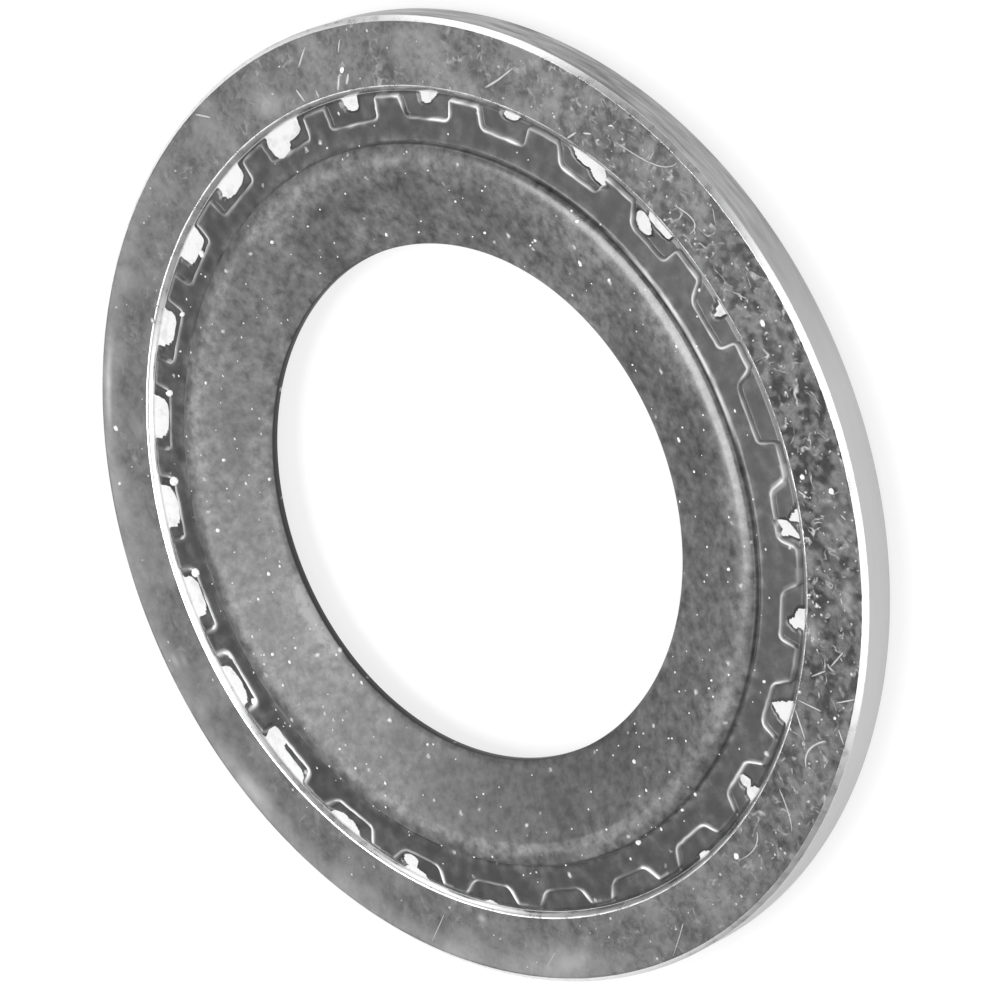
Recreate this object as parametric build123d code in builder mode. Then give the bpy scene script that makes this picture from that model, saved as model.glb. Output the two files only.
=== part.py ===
from build123d import *
import math
import os

# Bonded sealing washer: a flat metal ring with a thinner inner ledge, and a
# rubber seal moulded over that ledge from both faces. Millimetres, +Z up.
# The washer lies flat. Its bore is on the Z axis, and the crest of its lower
# bead is at Z = 0. Both faces are the same.

# Metal ring
plate_thickness = 1.2
band_width = 2.05  # the full-thickness band, from the rim in to the shoulder
rim_bevel = 0.14  # round the outside edges
shoulder_bevel = 0.1  # where the band steps down to the ledge
ledge_thickness = 0.86
ledge_width = 1.85  # from the shoulder in to its hidden edge in the rubber

# Rubber seal
bore_diameter = 15.0
lip_thickness = 0.24  # the narrow land round the bore
lip_width = 2.5  # the sloping lip, from the bore out to the bead's crest
tooth_gap = 0.17  # open gap from the tooth tips to the shoulder
tooth_length = 0.63
tooth_edge_radius = 0.06
skirt_width = 0.65  # from the roots of the teeth in to the bead
skirt_drop = 0.03  # how far the toothed skirt lies below the metal's face
bead_height = 0.2  # how far each bead stands above the metal's face
bead_edge_radius = 0.12
crest_width = 0.5  # the level top of the bead
crest_blend_radius = 1.2  # where the crest runs into the sloping lip

# Moulding pockets between the teeth
tooth_count = 26
pocket_width = 1.6  # at its inner end
pocket_flare = 14  # degrees each side wall opens from straight
pocket_corner_radius = 0.15
skin_thickness = 0.04  # thin rubber left on the ledge
window_width = 1.15  # bare spot on the ledge, where the mould's pin stood
window_reach = 0.43  # how far the bare spot runs in from the tooth tips
window_corner = 0.2

# Radii that follow, from the bore outwards; the outside diameter comes to 28
bore_radius = bore_diameter / 2
crest_radius = bore_radius + lip_width
bead_radius = crest_radius + crest_width
pocket_radius = bead_radius + skirt_width
tip_radius = pocket_radius + tooth_length
window_radius = tip_radius - window_reach
shoulder_radius = tip_radius + tooth_gap
ledge_radius = shoulder_radius - ledge_width
outer_radius = shoulder_radius + band_width

# Levels that follow, from the middle of the thickness up
ledge_level = ledge_thickness / 2
skin_level = ledge_level + skin_thickness
face_level = plate_thickness / 2
skirt_level = face_level - skirt_drop
crest_level = face_level + bead_height

# Half sections are drawn from the middle of the thickness, then mirrored.
middle = Plane.XY.offset(crest_level)
section = Plane(origin=(0, 0, crest_level), x_dir=(1, 0, 0), z_dir=(0, -1, 0))


# Metal ring: flat band outside, thin ledge inside, turned about the bore axis
with BuildPart() as metal_ring:
    with BuildSketch(section) as ring_section:
        with BuildLine():
            Polyline(
                (ledge_radius, 0),
                (ledge_radius, ledge_level),
                (shoulder_radius, ledge_level),
                (shoulder_radius, face_level),
                (outer_radius, face_level),
                (outer_radius, 0),
                close=True,
            )
        make_face()
        face_corners = ring_section.vertices().group_by(Axis.Y)[-1].sort_by(Axis.X)
        chamfer(face_corners[0], length=shoulder_bevel)
        chamfer(face_corners[-1], length=rim_bevel)
        mirror(about=Plane.XZ)
    revolve(axis=Axis.Z)

metal_ring.part.label = "metal_ring"


# One pocket seen from above, with its inner end across the X axis
pocket_length = shoulder_radius - pocket_radius
mouth_half_width = pocket_width / 2 + pocket_length * math.tan(math.radians(pocket_flare))
with BuildSketch() as pocket_outline:
    with BuildLine():
        Polyline(
            (pocket_radius, pocket_width / 2),
            (pocket_radius, -pocket_width / 2),
            (shoulder_radius, -mouth_half_width),
            (shoulder_radius, mouth_half_width),
            close=True,
        )
    make_face()
    inner_corners = pocket_outline.vertices().group_by(Axis.X)[0]
    fillet(inner_corners, radius=pocket_corner_radius)


# The bare spot in a pocket's floor, open to the gap at the shoulder
with BuildSketch() as window_outline:
    with Locations((window_radius, 0)):
        Rectangle(window_reach + tooth_gap, window_width, align=(Align.MIN, Align.CENTER))
    window_corners = window_outline.vertices().group_by(Axis.X)[0]
    chamfer(window_corners, length=window_corner)


# All pockets of both faces, with their bare spots
with BuildPart() as pockets:
    with BuildSketch(middle.offset(skin_level)):
        with PolarLocations(0, tooth_count):
            add(pocket_outline.sketch)
    extrude(amount=crest_level - skin_level)
    with BuildSketch(middle.offset(ledge_level)):
        with PolarLocations(0, tooth_count):
            add(window_outline.sketch)
    extrude(amount=skin_thickness)
    mirror(about=middle)


# Rubber seal: a lip that thins towards the bore, a raised bead, and a skirt
# that wraps the ledge and is cut into teeth
with BuildPart() as rubber_seal:
    with BuildSketch(section) as seal_section:
        with BuildLine():
            Polyline(
                (bore_radius, 0),
                (bore_radius, lip_thickness / 2),
                (crest_radius, crest_level),
                (bead_radius, crest_level),
                (bead_radius, skirt_level),
                (tip_radius, skirt_level),
                (tip_radius, ledge_level),
                (ledge_radius, ledge_level),
                (ledge_radius, 0),
                close=True,
            )
        make_face()
        crest_corners = seal_section.vertices().group_by(Axis.Y)[-1].sort_by(Axis.X)
        skirt_corners = seal_section.vertices().group_by(Axis.Y)[-2].sort_by(Axis.X)
        fillet(crest_corners[0], radius=crest_blend_radius)
        fillet(crest_corners[-1], radius=bead_edge_radius)
        fillet(skirt_corners[-1], radius=tooth_edge_radius)
        mirror(about=Plane.XZ)
    revolve(axis=Axis.Z)
    add(pockets.part, mode=Mode.SUBTRACT)

rubber_seal.part.label = "rubber_seal"


os.makedirs("parts", exist_ok=True)
export_step(metal_ring.part, "parts/metal_ring.step")
export_step(rubber_seal.part, "parts/rubber_seal.step")
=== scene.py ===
import math

import bpy
import numpy as np
from mathutils import Matrix, Vector


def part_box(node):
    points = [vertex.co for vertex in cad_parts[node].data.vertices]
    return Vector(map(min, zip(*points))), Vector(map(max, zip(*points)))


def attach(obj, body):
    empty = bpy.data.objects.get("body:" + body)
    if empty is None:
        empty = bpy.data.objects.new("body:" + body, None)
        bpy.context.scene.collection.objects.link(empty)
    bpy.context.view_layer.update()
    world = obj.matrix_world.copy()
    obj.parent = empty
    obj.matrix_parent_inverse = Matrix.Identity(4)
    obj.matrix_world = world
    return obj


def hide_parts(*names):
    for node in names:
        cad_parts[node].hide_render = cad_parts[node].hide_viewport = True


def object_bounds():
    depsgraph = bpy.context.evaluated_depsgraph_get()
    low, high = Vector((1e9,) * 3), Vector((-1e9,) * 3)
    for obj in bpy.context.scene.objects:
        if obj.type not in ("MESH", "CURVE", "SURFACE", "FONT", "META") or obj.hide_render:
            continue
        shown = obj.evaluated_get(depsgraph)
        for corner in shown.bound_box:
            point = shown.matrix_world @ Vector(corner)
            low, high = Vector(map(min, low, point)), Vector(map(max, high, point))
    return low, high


bl_info = {
    "name": "Bonded Sealing Washer",
    "version": (1, 0, 0),
    "blender": (4, 5, 0),
    "location": "3D View > Sidebar > Washer",
    "description": "Dresses a bonded sealing washer with worn plated steel and moulded rubber",
    "category": "Object",
}

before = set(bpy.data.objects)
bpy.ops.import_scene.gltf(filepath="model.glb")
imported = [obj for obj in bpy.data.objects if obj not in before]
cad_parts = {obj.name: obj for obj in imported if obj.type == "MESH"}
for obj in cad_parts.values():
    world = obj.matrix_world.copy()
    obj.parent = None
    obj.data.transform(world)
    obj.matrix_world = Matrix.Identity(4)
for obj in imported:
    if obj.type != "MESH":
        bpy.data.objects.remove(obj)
cad_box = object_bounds()
ring_low, ring_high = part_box("metal_ring")
seal_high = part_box("rubber_seal")[1]

MM = 0.001
MIDDLE = (ring_low.z + ring_high.z) / 2  # height of the washer's middle plane
FACE = ring_high.z - MIDDLE  # half thickness of the metal
CREST = seal_high.z - MIDDLE  # half thickness over the beads
OUTER_RADIUS = min(ring_high.x, ring_high.y)
TEETH = 26
PITCH = 2 * math.pi / TEETH

# Bare spots in the pockets' floors, where the mould's pins kept the rubber off
# the steel. Each row: angle in degrees clockwise from +X, how far the spot lies
# in from the shoulder, half its width, half its length (mm), how square it is,
# and how far it leans clockwise as it runs inwards (mm per mm).
BARE_SPOTS = (
    (13.6, 0.0, 0.2, 0.45, 1.4, 0.5),
    (15.5, 0.55, 0.09, 0.21, 2.0, 0.3),
    (17.2, 0.48, 0.2, 0.36, 1.4, -0.6),
    (28.1, 0.0, 0.33, 0.4, 2.2, 0.0),
    (28.9, 0.35, 0.13, 0.28, 2.0, 0.0),
    (41.8, 0.0, 0.42, 0.7, 1.15, 0.0),
    (56.0, 0.08, 0.24, 0.24, 2.5, 0.0),
    (55.2, 0.5, 0.16, 0.22, 2.0, 0.0),
    (69.5, 0.05, 0.2, 0.14, 2.0, 0.0),
    (111.5, 0.0, 0.26, 0.17, 1.4, 0.0),
    (125.3, 0.0, 0.42, 0.22, 2.2, 0.0),
    (126.4, 0.36, 0.28, 0.2, 2.0, 0.0),
    (138.9, 0.0, 0.6, 0.34, 2.2, 0.0),
    (151.6, 0.0, 0.78, 0.42, 2.2, 0.0),
    (155.2, 0.35, 0.36, 0.46, 2.4, 0.0),
    (165.4, 0.0, 0.69, 0.5, 2.2, 0.0),
    (179.4, 0.0, 0.68, 0.6, 2.6, 0.0),
    (193.2, 0.0, 0.66, 0.64, 3.0, 0.0),
    (206.6, 0.0, 0.67, 0.64, 3.0, 0.1),
    (220.3, 0.0, 0.62, 0.6, 3.0, 0.25),
    (235.1, 0.0, 0.57, 0.61, 4.5, 0.0),
    (248.8, 0.0, 0.57, 0.6, 4.5, -0.1),
    (260.4, 0.25, 0.42, 0.62, 3.0, 0.0),
    (263.4, 0.1, 0.44, 0.44, 3.0, 0.0),
    (276.3, 0.05, 0.28, 0.42, 2.6, 0.0),
    (290.7, 0.0, 0.33, 0.36, 1.8, -0.4),
    (305.2, 0.0, 0.27, 0.24, 3.0, -0.4),
    (317.4, 0.0, 0.38, 0.34, 2.6, 0.3),
    (319.8, 0.26, 0.32, 0.26, 2.2, 0.5),
    (332.0, 0.08, 0.45, 0.22, 3.0, 0.0),
    (328.8, 0.48, 0.31, 0.24, 2.2, 0.4),
    (345.4, 0.0, 0.22, 0.5, 1.2, 0.2),
)


def linear(hex_colour):
    """Turns an sRGB hex colour into the linear RGBA that Blender uses."""
    channels = [int(hex_colour[i : i + 2], 16) / 255 for i in (1, 3, 5)]
    return tuple(
        c / 12.92 if c <= 0.04045 else ((c + 0.055) / 1.055) ** 2.4 for c in channels
    ) + (1.0,)


def length(name, description, default_mm):
    """One length setting, written here in millimetres."""
    return bpy.props.FloatProperty(
        name=name, description=description, default=default_mm * MM,
        min=0.0, precision=5, unit="LENGTH",
    )


def colour(name, description, hex_colour):
    """One colour setting, written here as sRGB hex."""
    return bpy.props.FloatVectorProperty(
        name=name, description=description, default=linear(hex_colour),
        size=4, min=0.0, max=1.0, subtype="COLOR",
    )


def level(name, description, default, **settings):
    """One plain number setting."""
    return bpy.props.FloatProperty(
        name=name, description=description, default=default, min=0.0, **settings
    )


class WasherRingSettings(bpy.types.PropertyGroup):
    """Sizes and colours of the steel ring."""

    band_width: length("Band width", "Full-thickness band, rim to shoulder", 2.05)
    rim_bevel: length("Rim bevel", "Bevel round the outside edges", 0.14)
    shoulder_bevel: length("Shoulder bevel", "Bevel where the band steps down", 0.1)
    ledge_drop: length("Ledge drop", "How far the inner ledge lies below the face", 0.17)
    ledge_width: length("Ledge width", "Ledge from the shoulder to its hidden edge", 1.85)
    pit_depth: length("Pit depth", "Depth of the corrosion pits", 0.005)
    plating: colour("Plating", "Dull zinc plating on the band", "#747474")
    # Also the painted shade on the rim wall where it catches no reflection
    tarnish_and_shade: colour("Tarnish", "Darker tarnish in the plating", "#545454")
    rust: colour("Pits", "Dark oxide down in the pits", "#262626")
    # Also the lit end of the rim wall's painted reflection
    wall: colour("Rim wall", "Smooth punched wall of the rim", "#CACACA")
    # Also paints the light patches on the face, partly a painted sheen
    bare: colour("Worn edge", "Bright worn edges and flecks", "#F0F0F0")
    # The bare spots' near-white matt tone paints their bright reflection
    spot: colour("Bare spot", "Matt bare spots in the pockets", "#DCDCDC")


class WasherSealSettings(bpy.types.PropertyGroup):
    """Sizes and colours of the rubber seal."""

    bore_radius: length("Bore radius", "Radius of the hole", 7.5)
    land_height: length("Land height", "Thickness of the rubber round the bore", 0.24)
    bead_radius: length("Bead radius", "Outside foot of the raised bead", 10.5)
    crown_radius: length("Crown radius", "Rounding of the bead's crest", 1.1)
    edge_radius: length("Bead edge", "Rounding of the bead's outer edge", 0.11)
    skirt_drop: length("Skirt drop", "Toothed skirt below the metal's face", 0.03)
    pocket_corner: length("Pocket corner", "Rounding of the pocket's corners", 0.12)
    skin: length("Skin", "Thin rubber left on the ledge in a pocket", 0.04)
    tooth_gap: length("Tooth gap", "Open gap from tooth tip to shoulder", 0.17)
    rubber: colour("Rubber", "Moulded black rubber", "#1F1F1F")
    # The bloom colour also paints a highlight by the bore at the back
    bloom_and_highlight: colour("Bloom", "Pale bloom on the rubber", "#828282")
    # The flash colour also paints highlights along the pocket edges and the bead's near foot
    flash_and_highlight: colour("Flash", "Pale edge of the moulding flash", "#F4F4F4")
    dust: colour("Dust", "Pale lint and crumbs", "#F2F2F2")


class WasherStudioSettings(bpy.types.PropertyGroup):
    """Light, floor and camera."""

    floor: colour("Floor", "Plain pale floor", "#F4F4F4")
    fill: level("Fill", "Even light from all round", 0.28)
    overhead: level("Overhead", "Brightness of the overhead softbox", 10.8)
    front: level("Front", "Brightness of the front and side softboxes", 1.4)
    lens: level("Lens", "Focal length", 178.35, unit="CAMERA")


def add_node(tree, kind, inputs=None, **settings):
    """Adds a node with its settings. An input takes a value, an output, or another
    node for that node's first output."""
    node = tree.nodes.new("ShaderNode" + kind)
    for key, value in settings.items():
        setattr(node, key, value)
    for key, value in (inputs or {}).items():
        if isinstance(value, bpy.types.Node):
            value = value.outputs[0]
        if isinstance(value, bpy.types.NodeSocket):
            tree.links.new(value, node.inputs[key])
        else:
            node.inputs[key].default_value = value
    return node


def new_material(name):
    """A material, and its empty node tree."""
    material = bpy.data.materials.new(name)
    material.use_nodes = True
    material.node_tree.nodes.clear()
    return material, material.node_tree


def per(size_mm):
    """Texture scale for a pattern whose marks are size_mm across."""
    return 1.0 / (size_mm * MM)


def smooth(x, low, high):
    """0 below low, 1 above high, with an even curve between."""
    t = np.clip((np.asarray(x, float) - low) / (high - low), 0.0, 1.0)
    return t * t * (3 - 2 * t)


def patches(angle, radius, size_mm, seed):
    """Smooth random values from 0 to 1 on the washer's face, size_mm across."""
    band_middle_mm, table_rows, first_row = 12.9, 512, 17.0
    count = max(4, round(2 * math.pi * band_middle_mm / size_mm))
    table = np.random.default_rng(seed).random((count, table_rows))
    u = np.mod(angle / (2 * math.pi), 1.0) * count
    v = (np.asarray(radius, float) / MM) / size_mm + first_row
    u0, v0 = np.floor(u).astype(int), np.floor(v).astype(int)
    fu, fv = smooth(u - u0, 0, 1), smooth(v - v0, 0, 1)
    u1, v1 = (u0 + 1) % count, (v0 + 1) % table_rows
    u0, v0 = u0 % count, v0 % table_rows
    low = table[u0, v0] * (1 - fu) + table[u1, v0] * fu
    high = table[u0, v1] * (1 - fu) + table[u1, v1] * fu
    return low * (1 - fv) + high * fv


def sector(angle, middle_deg, half_deg, soft_deg):
    """1 inside a sector of the ring, falling to 0 over soft_deg outside it."""
    away = np.abs(np.mod(angle - math.radians(middle_deg) + math.pi, 2 * math.pi) - math.pi)
    return 1 - smooth(np.degrees(away), half_deg, half_deg + soft_deg)


def ring_points(angle, radius, height):
    """Points round the washer's axis; heights are from the middle plane."""
    radius = np.broadcast_to(radius, angle.shape)
    height = np.broadcast_to(height, angle.shape)
    return np.column_stack([radius * np.cos(angle), radius * np.sin(angle), MIDDLE + height])


def stitch(rings):
    """Faces between neighbouring rings of points, the last ring meeting the first.
    The rings' counts may differ by a whole factor."""
    starts = np.concatenate([[0], np.cumsum([len(r) for r in rings])])
    faces, row_of_face = [], []
    for i in range(len(rings)):
        j = (i + 1) % len(rings)
        a, b, sa, sb = len(rings[i]), len(rings[j]), int(starts[i]), int(starts[j])
        n = min(a, b)
        if a % n or b % n:
            raise RuntimeError(f"rings of {a} and {b} points leave a gap")
        ka, kb = a // n, b // n
        for c in range(n):
            near = [sa + (c * ka + q) % a for q in range(ka + 1)]
            far = [sb + (c * kb + q) % b for q in range(kb + 1)]
            faces.append(near[::-1] + far)
        row_of_face += [i] * n
    return faces, np.array(row_of_face)


def new_object(name, points, faces, materials):
    """An object in the scene with a smooth mesh of points and faces."""
    mesh = bpy.data.meshes.new(name)
    mesh.from_pydata(points, [], faces)
    for material in materials:
        mesh.materials.append(material)
    mesh.polygons.foreach_set("use_smooth", np.ones(len(faces), bool))
    if mesh.validate():
        raise RuntimeError(f"{name} has broken faces")
    mesh.update()
    piece = bpy.data.objects.new(name, mesh)
    bpy.context.scene.collection.objects.link(piece)
    return piece


def ring_object(name, rings, marks, row_materials, materials):
    """A closed mesh from rings of points, with a value per point for each mark."""
    faces, rows = stitch(rings)
    piece = new_object(name, np.concatenate(rings).tolist(), faces, materials)
    for mark, values in marks.items():
        layer = piece.data.attributes.new(mark, "FLOAT", "POINT")
        layer.data.foreach_set("value", np.concatenate(values).astype(np.float32))
    slots = np.array([row_materials[r] for r in rows], np.int32)
    piece.data.polygons.foreach_set("material_index", slots)
    return piece


def plated_steel(settings):
    """Dull zinc-plated pressed steel: soft clouded greys with a low broken
    sheen, dark blotches and thin bright worm marks where it has corroded,
    small bright flecks where the plating is knocked, and light patches that
    are partly rubbed wear and partly a painted sheen."""
    material, tree = new_material("dull_zinc_plated_steel")
    place = add_node(tree, "TexCoord").outputs["Object"]
    pitted = add_node(tree, "Attribute", attribute_name="pitting").outputs["Fac"]
    rubbed_and_sheen = add_node(tree, "Attribute", attribute_name="rubbed_and_sheen").outputs["Fac"]
    clouds = add_node(
        tree, "TexNoise",
        {"Vector": place, "Scale": per(1.5), "Detail": 3.0, "Roughness": 0.5, "Distortion": 0.4},
    )
    mottle = add_node(
        tree, "TexNoise",
        {"Vector": place, "Scale": per(0.42), "Detail": 3.0, "Roughness": 0.55, "Distortion": 0.5},
    )
    grit = add_node(
        tree, "TexNoise",
        {"Vector": place, "Scale": per(0.2), "Detail": 2.5, "Roughness": 0.6, "Distortion": 0.8},
    )
    # The tone wanders gently, and breaks up where the plating is pitted
    tone = add_node(
        tree, "MapRange",
        {"Value": clouds, "From Min": 0.3, "From Max": 0.7, "To Min": 0.3, "To Max": 0.9},
    )
    swing = add_node(tree, "Math", {0: mottle, 1: 0.5}, operation="SUBTRACT")
    tone = add_node(tree, "Math", {0: swing, 1: 1.6, 2: tone}, operation="MULTIPLY_ADD")
    gain = add_node(tree, "Math", {0: pitted, 1: 8.0, 2: 0.6}, operation="MULTIPLY_ADD")
    swing = add_node(tree, "Math", {0: grit, 1: 0.5}, operation="SUBTRACT")
    tone = add_node(
        tree, "Math", {0: swing, 1: gain, 2: tone}, operation="MULTIPLY_ADD", use_clamp=True
    )
    body = add_node(
        tree, "Mix", {0: tone, 6: settings.tarnish_and_shade, 7: settings.plating}, data_type="RGBA"
    )
    pit = add_node(tree, "Math", {0: pitted, 1: 1.05}, operation="MULTIPLY")
    eaten = add_node(tree, "Mix", {0: pit, 6: body.outputs[2], 7: settings.rust}, data_type="RGBA")
    # Worm-like marks: thin contours of a twisted noise, in the pitted stretches
    worms = add_node(
        tree, "TexNoise", {"Vector": place, "Scale": per(0.6), "Detail": 1.5, "Distortion": 1.2}
    )
    contour = add_node(tree, "Math", {0: worms, 1: 0.5}, operation="SUBTRACT")
    contour = add_node(tree, "Math", {0: contour}, operation="ABSOLUTE")
    line = add_node(tree, "MapRange", {"Value": contour, "From Min": 0.05, "From Max": 0.0})
    broken = add_node(
        tree, "MapRange", {"Value": mottle, "From Min": 0.5, "From Max": 0.66, "To Max": 0.8}
    )
    line = add_node(tree, "Math", {0: line, 1: broken}, operation="MULTIPLY")
    reach = add_node(tree, "Math", {0: pitted, 1: 0.75, 2: 0.05}, operation="MULTIPLY_ADD")
    line = add_node(tree, "Math", {0: line, 1: reach}, operation="MULTIPLY", use_clamp=True)
    # Flecks: a small bright spot in some cells, in more of them where it is pitted
    cells = add_node(tree, "TexVoronoi", {"Vector": place, "Scale": per(0.8)})
    size = add_node(
        tree, "MapRange",
        {"Value": mottle, "From Min": 0.35, "From Max": 0.65, "To Min": 0.04, "To Max": 0.15},
    )
    inside = add_node(tree, "Math", {0: size, 1: cells}, operation="SUBTRACT")
    inside = add_node(tree, "Math", {0: inside, 1: 16.0}, operation="MULTIPLY", use_clamp=True)
    wanted = add_node(tree, "Math", {0: pitted, 1: -0.3, 2: 0.66}, operation="MULTIPLY_ADD")
    chosen = add_node(
        tree, "Math", {0: cells.outputs["Color"], 1: wanted}, operation="GREATER_THAN"
    )
    fleck = add_node(tree, "Math", {0: inside, 1: chosen}, operation="MULTIPLY")
    bright = add_node(tree, "Math", {0: line, 1: fleck}, operation="MAXIMUM")
    # Light patches: rubbed wear, and a painted sheen along the far side's outer edge
    bright = add_node(tree, "Math", {0: bright, 1: rubbed_and_sheen}, operation="MAXIMUM")
    final = add_node(
        tree, "Mix", {0: bright, 6: eaten.outputs[2], 7: settings.bare}, data_type="RGBA"
    )
    rough = add_node(
        tree, "MapRange",
        {"Value": mottle, "From Min": 0.3, "From Max": 0.7, "To Min": 0.42, "To Max": 0.54},
    )
    bump = add_node(tree, "Bump", {"Height": mottle, "Strength": 0.2, "Distance": 0.01 * MM})
    steel = add_node(
        tree, "BsdfPrincipled",
        {"Base Color": final.outputs[2], "Roughness": rough, "Normal": bump, "Metallic": 0.85},
    )
    add_node(tree, "OutputMaterial", {"Surface": steel})
    return material


def sheared_steel(settings):
    """The punched rim wall: smooth grey steel, drawn into fine streaks that
    run along the rim, so that its reflections look combed."""
    material, tree = new_material("sheared_plated_steel")
    place = add_node(tree, "TexCoord").outputs["Object"]
    pitted = add_node(tree, "Attribute", attribute_name="pitting").outputs["Fac"]
    rubbed_and_sheen = add_node(tree, "Attribute", attribute_name="rubbed_and_sheen").outputs["Fac"]
    drawn = add_node(tree, "Mapping", {"Vector": place, "Scale": (0.5, 0.5, 5.0)})
    streaks = add_node(
        tree, "TexNoise", {"Vector": drawn, "Scale": per(0.9), "Detail": 4.0, "Roughness": 0.6}
    )
    tone = add_node(tree, "MapRange", {"Value": streaks, "From Min": 0.34, "From Max": 0.66})
    # The added lightness is a painted reflection, lightest on the near side, and the tarnish
    # colour gives the wall its painted shade
    tone = add_node(
        tree, "Math", {0: tone, 1: pitted, 2: rubbed_and_sheen}, operation="MULTIPLY_ADD", use_clamp=True
    )
    body = add_node(
        tree, "Mix", {0: tone, 6: settings.tarnish_and_shade, 7: settings.wall}, data_type="RGBA"
    )
    rough = add_node(
        tree, "MapRange",
        {"Value": streaks, "From Min": 0.3, "From Max": 0.7, "To Min": 0.3, "To Max": 0.42},
    )
    bump = add_node(tree, "Bump", {"Height": streaks, "Strength": 0.2, "Distance": 0.01 * MM})
    steel = add_node(
        tree, "BsdfPrincipled",
        {"Base Color": body.outputs[2], "Roughness": rough, "Normal": bump, "Metallic": 0.9},
    )
    add_node(tree, "OutputMaterial", {"Surface": steel})
    return material


def bare_steel(settings, name, bright, metallic, smoothest, dullest):
    """Bare steel. Worn edges come out bright and glossy, and the bare spots
    where the mould's pins stood come out matt and nearly white, a tone that
    paints their bright reflection."""
    material, tree = new_material(name)
    place = add_node(tree, "TexCoord").outputs["Object"]
    grain = add_node(
        tree, "TexNoise", {"Vector": place, "Scale": per(0.4), "Detail": 3.0, "Roughness": 0.6}
    )
    tone = add_node(
        tree, "MapRange", {"Value": grain, "From Min": 0.3, "From Max": 0.5, "To Min": 0.75}
    )
    shade = add_node(tree, "Mix", {0: tone, 6: settings.plating, 7: bright}, data_type="RGBA")
    rough = add_node(
        tree, "MapRange",
        {"Value": grain, "From Min": 0.3, "From Max": 0.7, "To Min": smoothest, "To Max": dullest},
    )
    steel = add_node(
        tree, "BsdfPrincipled",
        {"Base Color": shade.outputs[2], "Roughness": rough, "Metallic": metallic},
    )
    add_node(tree, "OutputMaterial", {"Surface": steel})
    return material


def moulded_rubber(settings):
    """Compression-moulded black rubber: dark with a soft sheen that is sharper
    along the worn crest, a pale uneven bloom on the lip, painted paler by the
    bore at the back as a painted highlight, and thin pale lines along the pocket
    edges and the bead's near foot that are mostly painted highlights, with some
    real flash."""
    material, tree = new_material("moulded_black_rubber")
    place = add_node(tree, "TexCoord").outputs["Object"]
    edge = add_node(tree, "Attribute", attribute_name="flash_and_highlight").outputs["Fac"]
    dusty = add_node(tree, "Attribute", attribute_name="bloom_and_highlight").outputs["Fac"]
    shiny = add_node(tree, "Attribute", attribute_name="shine").outputs["Fac"]
    grain = add_node(
        tree, "TexNoise", {"Vector": place, "Scale": per(0.3), "Detail": 3.5, "Roughness": 0.62}
    )
    clouds = add_node(
        tree, "TexNoise",
        {"Vector": place, "Scale": per(1.6), "Detail": 3.0, "Roughness": 0.5, "Distortion": 0.6},
    )
    # Bloom: uneven over the lip, a little broken up by the grain
    haze = add_node(
        tree, "MapRange",
        {"Value": clouds, "From Min": 0.3, "From Max": 0.7, "To Min": 0.6, "To Max": 1.25},
    )
    speckle = add_node(
        tree, "MapRange",
        {"Value": grain, "From Min": 0.3, "From Max": 0.7, "To Min": 0.35, "To Max": 1.75},
    )
    haze = add_node(tree, "Math", {0: haze, 1: speckle}, operation="MULTIPLY")
    haze = add_node(tree, "Math", {0: haze, 1: dusty}, operation="MULTIPLY", use_clamp=True)
    body = add_node(
        tree, "Mix", {0: haze, 6: settings.rubber, 7: settings.bloom_and_highlight}, data_type="RGBA"
    )
    # Flecks: a faint pale spot in some cells
    cells = add_node(tree, "TexVoronoi", {"Vector": place, "Scale": per(0.75)})
    size = add_node(
        tree, "MapRange",
        {"Value": grain, "From Min": 0.35, "From Max": 0.65, "To Min": 0.02, "To Max": 0.16},
    )
    inside = add_node(tree, "Math", {0: size, 1: cells}, operation="SUBTRACT")
    inside = add_node(tree, "Math", {0: inside, 1: 6.0}, operation="MULTIPLY", use_clamp=True)
    flecked = add_node(
        tree, "Mix", {0: inside, 6: body.outputs[2], 7: settings.flash_and_highlight}, data_type="RGBA"
    )
    # Pale lines along the pocket edges: mostly painted highlights, with some real flash
    final = add_node(
        tree, "Mix", {0: edge, 6: flecked.outputs[2], 7: settings.flash_and_highlight}, data_type="RGBA"
    )
    rough = add_node(tree, "MapRange", {"Value": shiny, "To Min": 0.47, "To Max": 0.23})
    bump = add_node(tree, "Bump", {"Height": grain, "Strength": 0.25, "Distance": 0.01 * MM})
    rubber = add_node(
        tree, "BsdfPrincipled",
        {"Base Color": final.outputs[2], "Roughness": rough, "Normal": bump, "IOR": 1.56},
    )
    add_node(tree, "OutputMaterial", {"Surface": rubber})
    return material


def pale_dust_and_glints(settings):
    """Pale lint and crumbs of flash caught on the oily surfaces, and pale domes that paint glints:
    matt, off-white.
    """
    material, tree = new_material("pale_dust_and_glints")
    place = add_node(tree, "TexCoord").outputs["Object"]
    grain = add_node(tree, "TexNoise", {"Vector": place, "Scale": per(0.1), "Detail": 2.0})
    clean = add_node(tree, "MapRange", {"Value": grain, "From Min": 0.2, "From Max": 0.45})
    shade = add_node(
        tree, "Mix", {0: clean, 6: settings.bloom_and_highlight, 7: settings.dust}, data_type="RGBA"
    )
    dust = add_node(tree, "BsdfPrincipled", {"Base Color": shade.outputs[2], "Roughness": 0.8})
    add_node(tree, "OutputMaterial", {"Surface": dust})
    return material


def clockwise(angle):
    """Angle in degrees clockwise from +X, from 0 to 360."""
    return np.mod(-np.degrees(angle), 360.0)


def round_table(angle, table, column):
    """Reads one column of a table whose first column is the angle clockwise from +X."""
    rows = np.array(table, float)
    return np.interp(clockwise(angle), rows[:, 0], rows[:, column], period=360.0)


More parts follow.
